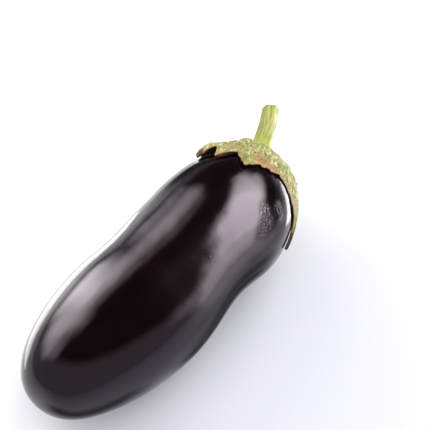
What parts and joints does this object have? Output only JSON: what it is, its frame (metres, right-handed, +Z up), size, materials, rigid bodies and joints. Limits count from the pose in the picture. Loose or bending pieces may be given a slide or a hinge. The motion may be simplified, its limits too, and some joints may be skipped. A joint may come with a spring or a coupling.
{
  "type": "eggplant",
  "caption": "Whole dark purple eggplant as picked, lying on its side, with green calyx and cut stalk, for food, kitchen and market scenes.",
  "frame": {"origin": "middle of the underside of the whole thing's box, on the surface it rests on", "axes": "+X from the blossom end towards the stalk, +Z up, Y across"},
  "size_m": [0.2256, 0.0814, 0.0777],
  "materials": {
    "skin": "smooth waxy skin with a high gloss",
    "calyx": "matt leathery green leaf with dry brown edges",
    "stalk": "matt fibrous green stalk with a pale cut end"
  },
  "bodies": {
    "root": {"fruit": "skin", "calyx": "calyx", "stalk": "stalk"}
  },
  "joints": []
}
